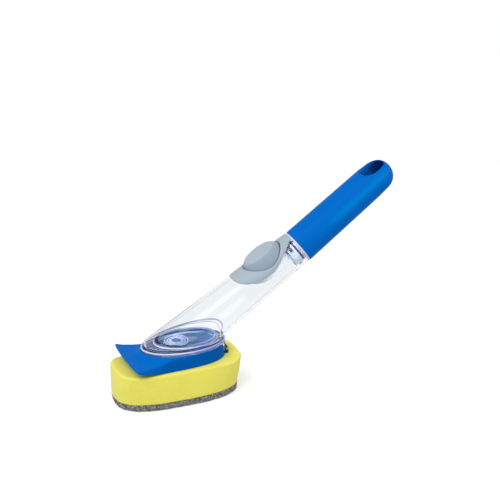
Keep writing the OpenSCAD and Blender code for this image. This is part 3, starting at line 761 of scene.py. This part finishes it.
def plate_field(P):
    x, y, z = P.T
    rise = np.clip((z - FOAM_TOP) / 10, 0, 1)
    drawn_in = 1.1 * rise * ease(x, -22, -8)
    w = flare_half(x) - drawn_in
    dw = (flare_half(x + NEARBY) - flare_half(x - NEARBY)) / (2 * NEARBY)
    flared = (np.abs(y) - w) / np.sqrt(1 + dw * dw)
    rounded = oval_gap(x - PLATE_MID, y, PLATE_A, PLATE_B, 2.6) + drawn_in
    sides = np.where(x > PLATE_MID, rounded, flared)
    front = (LIP_X - LIP_BOW * (1 - (y / LIP_HALF) ** 2)) - x
    plan = smax(sides, front, 0.9)
    top = plate_top(x, y)
    slope = (plate_top(x + NEARBY, y) - top) / NEARBY
    above = (z - top) / np.sqrt(1 + slope ** 2)
    run = np.clip(CURL_START - x, 0, None)
    curl_r = (CURL_RUN ** 2 + CURL_RISE ** 2) / (2 * CURL_RISE)
    arc = np.sqrt(np.maximum(curl_r ** 2 - run ** 2, 1))
    under = (FOAM_TOP + curl_r - arc - z) * np.cos(np.arcsin(np.clip(run / curl_r, 0, 0.9)))
    shoulder = 0.4 + 2.2 * ease(x, -33, -14) * (1 - 0.75 * ease(x, 2, 14))
    solid = smax(smax(plan, above, shoulder), under, 0.5)
    pocket = np.maximum(oval_gap(x - FOOT_X, y, POCKET_A, POCKET_B), POCKET_FLOOR - z)
    notch = np.maximum.reduce([np.abs(y) - 5.8, FOOT_X - x, POCKET_FLOOR - z])
    tab = np.maximum(np.abs(y) - 3.7, 34.6 - x)
    hole = oval_gap(x - VALVE_X, y, NOZZLE_R, NOZZLE_R)
    seat = np.maximum.reduce([oval_gap(x - VALVE_X, y, SEAT_R, SEAT_R), z - 31.2, 27.0 - z])
    bore = np.maximum(oval_gap(x - VALVE_X, y, SEAL_BORE_R, SEAL_BORE_R), 28.6 - z)
    solid = smax(solid, -pocket, 0.4)
    solid = np.maximum.reduce([solid, -notch, -tab])
    solid = np.maximum.reduce([np.minimum(solid, seat), -hole, -bore])
    for side in (-1, 1):
        cheek = np.maximum.reduce([np.abs(y - side * 4.4) - 0.7, 31 - x, x - 37.3, 26.0 - z, z - 28.3])
        pin = np.hypot(x - HINGE_X, z - HINGE_Z) - HINGE_R
        solid = np.minimum(solid, np.maximum(cheek, -pin))
    return solid


plate = make_skin("scraper_plate", plate_field, (-38, -25, 25.8), (38, 25, 36.2), 0.42, as_is, "head_plate", ROOT,
                  BLUE)
# Painted shade: faces of the plate that turn sideways or down go darker, from behind the scraper lip back.
facing_up = np.array([v.normal.z for v in plate.data.vertices])
shade_points(plate, ease(-facing_up, -0.9, 0.1) * ease(spots_of(plate)[:, 0], -34, -6))
dressed("release_tab", "release_tab_clip", "tab", NAVY, 0.2)

# ------------------------ clear foot and valve

FLOOR_FROM = 36.6
TURRET_R = 8.7
RING_INSIDE = 0.6

foot = dressed("foot_base", "clear_foot", ROOT, CLEAR_FOOT, 0.0)
# Painted see-through colour: the floor and walls inside the weld ring take a mid blue that stands for the blue
# plate seen through them; the valve's turret takes less.
spots = spots_of(foot)
in_ring = oval_gap(spots[:, 0] - RING_X, spots[:, 1], RING_A, RING_B) < -RING_INSIDE
near_valve = np.hypot(spots[:, 0] - VALVE_X, spots[:, 1]) < TURRET_R
shade_points(foot, in_ring * (spots[:, 2] > FLOOR_FROM) * np.where(near_valve, 0.45, 1.0))
dressed("valve_cup", "valve_cup_body", ROOT, CUP_WHITE, 0.12)
dressed("slit_valve", "valve_lips", ROOT, LIPS, 0.0)
dressed("valve_retainer", "valve_ring", ROOT, RING_WHITE, 0.14)
dressed("nozzle_o_ring", "nozzle_seal", ROOT, SEAL, 0.0, 60)

AROUND = 240
TURN = np.linspace(0, 2 * math.pi, AROUND, endpoint=False)
TURN_DEGREES = np.degrees(TURN)
BEAD_SIDES = 12
BEAD_SHARP = 80


def bead(name, path, width, height, material):
    """A closed oval bead along a path, with half widths and half heights for each point."""
    side = np.roll(path, -1, 0) - np.roll(path, 1, 0)
    side = np.stack([side[:, 1], -side[:, 0], 0 * side[:, 0]], 1)
    side *= (width / np.linalg.norm(side, axis=1))[:, None]
    rise = np.column_stack([0 * height, 0 * height, height])
    rings = [path + side * math.cos(t) + rise * math.sin(t)
             for t in np.linspace(0, 2 * math.pi, BEAD_SIDES, endpoint=False)]
    return ring_piece(name, rings, None, ROOT, material, BEAD_SHARP)


def valve_ridge(name, radius, z, width, height, material):
    """A round bead about the valve's axis."""
    same = np.ones(AROUND)
    path = np.column_stack([VALVE_X + radius * np.cos(TURN), radius * np.sin(TURN), z * same])
    bead(name, path, width * same, height * same, material)


valve_ridge("turret_ridge", 8.2, 40.0, 0.36, 0.42, VALVE_RIDGE)
valve_ridge("turret_groove", 7.35, 39.95, 0.3, 0.3, GROOVE)
valve_ridge("cup_ridge", 6.3, 39.5, 0.4, 0.7, VALVE_RIDGE)
valve_ridge("cup_groove", 5.35, 39.5, 0.3, 0.5, GROOVE)
valve_ridge("retainer_ridge", 3.9, 39.9, 0.4, 0.5, VALVE_RIDGE)
valve_ridge("retainer_groove", 2.9, 39.9, 0.3, 0.4, GROOVE)


def bell(degrees, middle, spread):
    """A smooth hump of height 1."""
    return np.exp(-((degrees - middle) / spread) ** 2)


def ring_edge():
    """A bead round the inner edge of the weld ring, full in front and thin elsewhere; its dark navy front is
    painted shade that stands for the blue plate's rim seen through the clear ring.
    """
    at = TURN_DEGREES
    full = 0.22 + 1.2 * bell(at, 168, 25) + 0.6 * bell(at, 222, 30)
    path = np.column_stack([RING_X + (RING_A - 1.0 - 0.6 * full) * np.cos(TURN),
                            (RING_B - 1.0 - 0.6 * full) * np.sin(TURN), np.full(AROUND, 41.5)])
    piece = bead("weld_ring_painted_shade", path, 0.9 * full, 0.9 * full, RING_PAINTED_SHADE)
    shade_points(piece, np.tile(ease(at, 132, 148) * ease(-at, -285, -250), BEAD_SIDES))


ring_edge()


def foot_bead(name, centre, a, b, z, width, height, dark_from):
    """A pale bead along an oval of the foot, a painted highlight, a little darker at the rear."""
    at = TURN_DEGREES
    path = np.column_stack([centre + a * np.cos(TURN), b * np.sin(TURN), np.full(AROUND, z)])
    piece = bead(name, path, np.full(AROUND, width), np.full(AROUND, height), FOOT_EDGE_HIGHLIGHT)
    shade_points(piece, np.tile(1 - ease(at, dark_from, 170) * ease(-at, -310, -240), BEAD_SIDES))


foot_bead("flange_bead", FOOT_X, FOOT_A - 0.45, FOOT_B - 0.45, 37.85, 0.45, 0.6, 150)
foot_bead("weld_ring_bead", RING_X, RING_A + 0.2, RING_B + 0.15, 40.1, 0.4, 0.6, 120)

# ------------------------ clear reservoir

NECK_BORE_R = 9.6
TRACK_R = 10.8
SMOOTHING = 5


def foot_ring(a, b, z):
    """A level ring round the foot's middle."""
    return np.column_stack([FOOT_X + a * np.cos(TURN), b * np.sin(TURN), np.full(AROUND, z)])


def tube_ring(x, r):
    """A ring square to the tube."""
    return from_tube(np.column_stack([np.full(AROUND, x), r * np.sin(TURN), -r * np.cos(TURN)]))


def neck_ring(s, r):
    """A ring square to the grip."""
    return from_grip(np.column_stack([np.full(AROUND, s), r * np.sin(TURN), -r * np.cos(TURN)]))


def gasket_ring(r):
    """The tube's end, where its cone meets the seat of the gasket."""
    d = math.radians(GRIP_TILT - TUBE_TILT)
    up = -r * np.cos(TURN)
    x = (TUBE_DROP - GASKET_T - up * math.sin(d)) / math.cos(d)
    return from_tube(np.column_stack([x, r * np.sin(TURN), up]))


def body_run(inset):
    """Rings from the foot up to the neck, all set in from the outer skin."""
    a, b = FOOT_A - 1 - inset, FOOT_B - 1 - inset
    low = foot_ring(a, b, FLANGE_TOP + 2)
    high = tube_ring(-TUBE_L, SHOULDER_R - inset)
    run = [foot_ring(a, b, FLANGE_TOP), foot_ring(a, b, FLANGE_TOP + 0.7), foot_ring(a, b, FLANGE_TOP + 1.4)]
    run += [low * (1 - t) + high * t for t in np.linspace(0, 1, 36)]
    run += [tube_ring(x, tube_r(x) - inset) for x in np.linspace(-TUBE_L, -6, 36)[1:]]
    for _ in range(SMOOTHING):
        run[1:-1] = [(a + 2 * b + c) / 4 for a, b, c in zip(run, run[1:], run[2:])]
    return run


outer = body_run(0) + [tube_ring(-3, tube_r(-3)), gasket_ring(12.25), gasket_ring(12.08)]
inner = body_run(WALL) + [
    neck_ring(-9.6, NECK_BORE_R), neck_ring(-8.0, NECK_BORE_R), neck_ring(-8.0, TRACK_R),
    neck_ring(-5.2, TRACK_R), neck_ring(-5.2, NECK_BORE_R), neck_ring(-GASKET_T, NECK_BORE_R)]
reservoir = ring_piece("clear_reservoir", outer + inner[::-1], "reservoir_body", ROOT,
                       CLEAR, 35)


def weld_seam():
    """The weld line where the tube stands on the foot, with its fillet; both climb the wall behind."""
    wall = np.stack(body_run(WALL))

    def on_wall(height):
        """The wall's inner face at one height for each direction."""
        return np.array([[np.interp(h, wall[:, k, 2], wall[:, k, j]) for j in range(3)]
                         for k, h in enumerate(height)])

    at = TURN_DEGREES
    height = np.interp(at, [0, 20, 45, 70, 90, 110, 135, 160, 180, 200, 240, 300, 343, 360],
                       [41.5, 44.3, 46.4, 45.8, 44.6, 43.6, 42.6, 41.3, 40.3, 39.6, 39.3, 39.2, 39.0, 41.5])
    height = sum(np.roll(height, k) for k in range(-8, 9)) / 17
    stout = 0.42 + 0.14 * ease(at, 8, 30) * ease(-at, -150, -110)
    piece = bead("weld_seam", on_wall(height), stout, stout * 1.1, SEAM)
    shade_points(piece, np.tile(ease(at, 175, 200) * ease(-at, -310, -285), BEAD_SIDES))
    fillet = on_wall(height - 1.5 * ease(height, 39.6, 41.5))
    bead("weld_fillet", fillet, np.full(AROUND, 0.36), np.full(AROUND, 0.5), FILLET)


weld_seam()


def well_ring(a, b, z):
    """A ring of the button's well at a height over the tube's axis, or None for the tube's surface."""
    x, y = a * np.cos(TURN) - BUTTON_AT, b * np.sin(TURN)
    if z is None:
        z = np.sqrt(np.maximum(tube_r(x) ** 2 - y ** 2, 4.0)) - 0.05
    return from_tube(np.column_stack([x, y, np.broadcast_to(z, x.shape)]))


def cut_away(piece, rings):
    """Cuts a capped run of rings out of a piece, for good."""
    n = len(rings[0])
    points = np.concatenate(rings) * MM
    faces = ring_faces(len(rings), n)
    faces += [tuple(range(n))[::-1], tuple(range(len(points) - n, len(points)))]
    mesh = bpy.data.meshes.new("cutter")
    mesh.from_pydata(points.tolist(), [], faces)
    face_out(mesh)
    cutter = new_object("cutter", mesh)
    mod = piece.modifiers.new("well hole", "BOOLEAN")
    mod.operation = "DIFFERENCE"
    mod.solver = "EXACT"
    mod.object = cutter
    ready = piece.evaluated_get(bpy.context.evaluated_depsgraph_get())
    result = bpy.data.meshes.new_from_object(ready)
    piece.modifiers.clear()
    piece.data = result
    bpy.data.objects.remove(cutter)
    result.shade_smooth()
    result.set_sharp_from_angle(angle=math.radians(35))


WELL_HOLE = (WELL_A + 1.25, WELL_B + 1.22)
WELL_OUTSIDE = (WELL_A + 1.2, WELL_B + 1.17)
WELL_LEDGE = (WELL_A - 3.8, WELL_B - 3.8)
WELL_LOW = 1.2
CUT_FROM = 1.1
WELL_FLOOR = 2.4
ABOVE_TUBE = 24.0

cut_away(reservoir, [well_ring(*WELL_HOLE, CUT_FROM), well_ring(*WELL_HOLE, ABOVE_TUBE)])
ring_piece("button_well", [well_ring(*WELL_OUTSIDE, WELL_LOW), well_ring(*WELL_OUTSIDE, None),
                           well_ring(WELL_A, WELL_B, None), well_ring(WELL_A, WELL_B, WELL_FLOOR),
                           well_ring(*WELL_LEDGE, WELL_FLOOR), well_ring(*WELL_LEDGE, WELL_LOW)],
           "reservoir_body", ROOT, WELL_WHITE, 30)

# ------------------------ button

CAP_TOP = 17.4
CAP_UNDER = 6.85
CAP_A = 14.95
CAP_B = 10.95
PANEL_R_SQUARED = 178.2
DOME_FROM = 3.0
DOME_PUSHED = 0.82


def panel_half(x):
    """Half width of the panel, from the waist at the neck to its rounded lower end."""
    wide, long_end, waist = 25.0, 46.2, -0.8
    half_wide, half_waist, spread = 12.9, 5.6, 7.3
    tail = np.clip(1 - np.clip((x - wide) / (long_end - wide), 0, 1.2) ** 3, -0.6, 1)
    tail = np.sign(tail) * half_wide * np.abs(tail) ** (1 / 3)
    t = np.clip((x - waist) / (wide - waist), 0, 1)
    neck = half_waist + spread * np.sin(t * math.pi / 2) ** 0.8
    flare = np.clip(waist - x, 0, None) * 0.6
    return np.where(x > wide, tail, neck + flare)


def panel_field(P):
    x, y, z = P.T
    rho = np.hypot(y, z)
    skin = rho - (tube_r(x) + 1.0)
    w = panel_half(-x)
    dw = (panel_half(-x + 0.1) - panel_half(-x - 0.1)) / 0.2
    plan = np.maximum((np.abs(y) - w) / np.sqrt(1 + np.minimum(dw * dw, 60)), 3.0 - z)
    well = -oval_gap(x + BUTTON_AT, y, WELL_A, WELL_B)
    d = math.radians(GRIP_TILT - TUBE_TILT)
    end = -TUBE_DROP + x * math.cos(d) + z * math.sin(d) + GASKET_T
    out = smax(skin, plan, 0.9)
    out = smax(out, well, 0.5)
    out = smax(out, end, 0.3)
    return np.maximum(out, tube_r(x) + 0.03 - rho)


make_skin("soft_panel", panel_field, (-47.5, -14.5, 4), (5, 14.5, 16), 0.34, from_tube, "button_panel", ROOT,
          GREY_SKIN)


def button_field(P):
    x, y, z = P.T
    panel_top = np.sqrt(PANEL_R_SQUARED - np.minimum(np.abs(y), 11.2) ** 2)
    rise = np.clip((z - panel_top) / (CAP_TOP - panel_top), 0, 1.1)
    low_end, high_end = np.clip(-x / 15, 0, 1) ** 2, np.clip(x / 15, 0, 1) ** 2
    inset = (4.1 - 1.7 * low_end + 0.2 * high_end) * rise ** (1.7 - 0.2 * low_end - 0.5 * high_end)
    inset += 0.1 * low_end + 0.4 * high_end
    wall = oval_gap(x, y, CAP_A - inset, CAP_B - inset * 1.02, 2.05) * 0.94
    dish = CAP_TOP - 0.03 * x - 0.75 * np.clip(1 - (x / 11.5) ** 2 - (y / 7.2) ** 2, 0, 1) - 0.10 * (x / 11) ** 2
    body = smax(wall, z - dish, 0.75)
    body = smax(body, CAP_UNDER - z, 0.3)
    stem = np.maximum.reduce([np.hypot(x, y) - 3.0, 6.25 - z, z - 8])
    return np.minimum(body, stem)


def from_button(P):
    Q = P.copy()
    Q[:, 0] -= BUTTON_AT
    return from_tube(Q)


cap = make_skin("thumb_button", button_field, (-15.2, -11.2, 6.1), (15.2, 11.2, 17.6), 0.3, from_button,
                "button_cap", "button", GREY_CAP)
# Painted shade: the button's side wall, turned away from the tube's up, takes a darker grey.
facing_up = np.array([v.normal for v in cap.data.vertices]) @ TUBE_UP
shade_points(cap, ease(-facing_up, -0.93, -0.55))
dome = dressed("button_diaphragm", "pump_dome", ROOT, SILICONE, 0.0)
for v in dome.data.vertices:
    # The dome is drawn pushed in, so the pressed button clears it.
    height = (np.array(v.co) / MM - NECK) @ TUBE_UP
    v.co += Vector(TUBE_UP) * (-DOME_PUSHED * max(height - DOME_FROM, 0)) * MM
dressed("diaphragm_ring", "pump_ring", ROOT, SILICONE, 0.1)

# ------------------------ neck and grip

LUG_FROM = 9.5
GRIP_R = 12.65
GRIP_TAPER = 0.95
TIP_AT = 73.5
TIP_L = 12.0
TIP_R = 11.7

dressed("neck_gasket", "neck_washer", ROOT, SILICONE, 0.15)
plug = dressed("cap_plug", "grip_plug", "grip", PLUG_WHITE, 0.12)
spots = spots_of(plug) - GRIP_START
along = spots @ GRIP_ALONG
off_axis = np.sqrt(np.maximum((spots ** 2).sum(1) - along ** 2, 0))
shade_points(plug, (off_axis > LUG_FROM) & (along < -1))
dressed("plug_o_ring", "plug_seal", "grip", BLUE_SEAL, 0.0, 60)


def grip_field(P):
    s, y, z = P.T
    rho = np.hypot(y, z)
    straight = rho - (GRIP_R - GRIP_TAPER * s / TIP_AT)
    tip = (np.sqrt((np.clip(s - TIP_AT, 0, None) / TIP_L) ** 2 + (rho / TIP_R) ** 2) - 1) * TIP_R
    shell = np.where(s > TIP_AT, tip, straight)
    shell = smax(shell, -s, 0.9)
    flare = np.clip((np.abs(z) - 2.5) / 9.0, 0, 1.3) ** 2
    centre = HANG_AT + 0.8 - 1.0 * flare
    hole = oval_gap(s - centre, y, 7.1 + 3.1 * flare, 6.3 + 4.8 * flare, 2.1)
    shell = smax(shell, -hole, 1.1)
    socket = np.maximum(rho - 10.35, s - 14.0)
    cavity = np.maximum(rho - (9.3 - 0.5 * s / 62), s - 61.5)
    return np.maximum(shell, -np.minimum(socket, cavity))


grip = make_skin("blue_grip", grip_field, (0, -12.8, -12.8), (85.6, 12.8, 12.8), 0.46, from_grip, "grip_sleeve",
                 "grip", GRIP_BLUE)
# Painted shade inside the hang hole, darker towards its end nearer the tip.
spots = spots_of(grip) - GRIP_START
along, over, up = spots @ GRIP_ALONG, spots[:, 1], spots @ GRIP_UP
in_hole = (oval_gap(along - HANG_AT, over, 9.6, 8.0) < 0) * np.clip((11.0 - np.hypot(over, up)) / 2.5, 0, 1)
shade_points(grip, in_hole * (0.45 + 0.55 * ease(along, 69, 78)))
# Painted highlight: a lighter band along each flank of the grip, a little above its middle, standing in for a soft
# lamp's reflection.
round_at = np.degrees(np.arctan2(up, np.abs(over)))
shade_points(grip, bell(round_at, 17, 15) * ease(along, 8, 45) * ease(-along, -86, -74), "painted_sheen")

# ------------------------ floor, light and camera

WHITE = (1, 1, 1, 1)
FLOOR_TINT = (0.62, 0.62, 0.62, 1)
FLOOR_GLOW = 0.53
FLOOR_SIDES = 96
WORLD_LIGHT = 0.5


def rays_from_view(tree):
    """One for rays that carry the picture: straight, mirrored or through clear plastic."""
    path = add(tree, "ShaderNodeLightPath")
    most = path.outputs["Is Camera Ray"]
    for label in ("Is Glossy Ray", "Is Transmission Ray"):
        most = worked(tree, "MAXIMUM", most, path.outputs[label])
    return most


def stage_floor():
    """A round white floor a hair below the pad."""
    mesh = bpy.data.meshes.new("floor")
    turn = [2 * math.pi * k / FLOOR_SIDES for k in range(FLOOR_SIDES)]
    rim = [(0.06 + 0.5 * math.cos(t), 0.5 * math.sin(t), -0.0001) for t in turn]
    mesh.from_pydata(rim, [], [tuple(range(FLOOR_SIDES))])
    floor = new_object("floor", mesh)
    mat, tree, bsdf = new_material("white floor")
    set_inputs(tree, bsdf.inputs, {
        "Base Color": FLOOR_TINT, "Roughness": 0.9, "Specular IOR Level": 0.0, "Emission Color": WHITE,
        "Emission Strength": worked(tree, "MULTIPLY", rays_from_view(tree), FLOOR_GLOW)})
    mesh.materials.append(mat)


def soft_lamp(name, place, target, width, height, power):
    """A lamp of width by height metres that faces a target."""
    data = bpy.data.lights.new(name, "AREA")
    data.shape = "RECTANGLE"
    data.size = width
    data.size_y = height
    data.energy = power
    lamp = new_object(name, data)
    lamp.location = place
    lamp.rotation_mode = "QUATERNION"
    lamp.rotation_quaternion = (Vector(target) - Vector(place)).to_track_quat("-Z", "Y")


def bright_world():
    """White where it is seen, and dimmer as a light."""
    world = bpy.data.worlds.new("studio")
    bpy.context.scene.world = world
    world.use_nodes = True
    tree = world.node_tree
    ground = tree.nodes["Background"]
    set_inputs(tree, ground.inputs, {"Color": WHITE, "Strength": WORLD_LIGHT})
    seen = add(tree, "ShaderNodeBackground", {"Color": WHITE, "Strength": 1.0})
    either = add(tree, "ShaderNodeMixShader", {"Fac": rays_from_view(tree), 1: ground.outputs["Background"],
                                               2: seen.outputs["Background"]})
    tree.links.new(either.outputs["Shader"], tree.nodes["World Output"].inputs["Surface"])


# The photo's view, from a fit of the outline: degrees, millimetres and pixels
VIEW_TURN = -22.903
VIEW_HEIGHT = 22.581
VIEW_DISTANCE = 1199.0
VIEW_RIGHT = 51.412
VIEW_UP = 99.545
FOCAL_PIXELS = 1714.39
FRAME_PIXELS = 500
SENSOR = 36


def photo_camera():
    a, e = math.radians(VIEW_TURN), math.radians(VIEW_HEIGHT)
    right = Vector((math.cos(a), math.sin(a), 0))
    up = Vector((-math.sin(a) * math.sin(e), math.cos(a) * math.sin(e), math.cos(e)))
    back = Vector((math.sin(a) * math.cos(e), -math.cos(a) * math.cos(e), math.sin(e)))
    data = bpy.data.cameras.new("camera")
    data.lens = SENSOR * FOCAL_PIXELS / FRAME_PIXELS
    data.sensor_width = SENSOR
    data.clip_start, data.clip_end = 0.05, 30
    camera = new_object("camera", data)
    camera.location = (back * VIEW_DISTANCE + right * VIEW_RIGHT + up * VIEW_UP) * MM
    camera.rotation_mode = "QUATERNION"
    camera.rotation_quaternion = Matrix((right, up, back)).transposed().to_quaternion()
    bpy.context.scene.camera = camera


stage_floor()
bright_world()
soft_lamp("high key", (-0.75, -0.55, 1.15), (0.03, 0, 0.05), 0.9, 0.9, 13.0)
soft_lamp("right fill", (1.25, -0.55, 0.4), (0.03, 0, 0.05), 0.8, 0.6, 4.0)
photo_camera()
bpy.context.scene.view_settings.view_transform = "Standard"
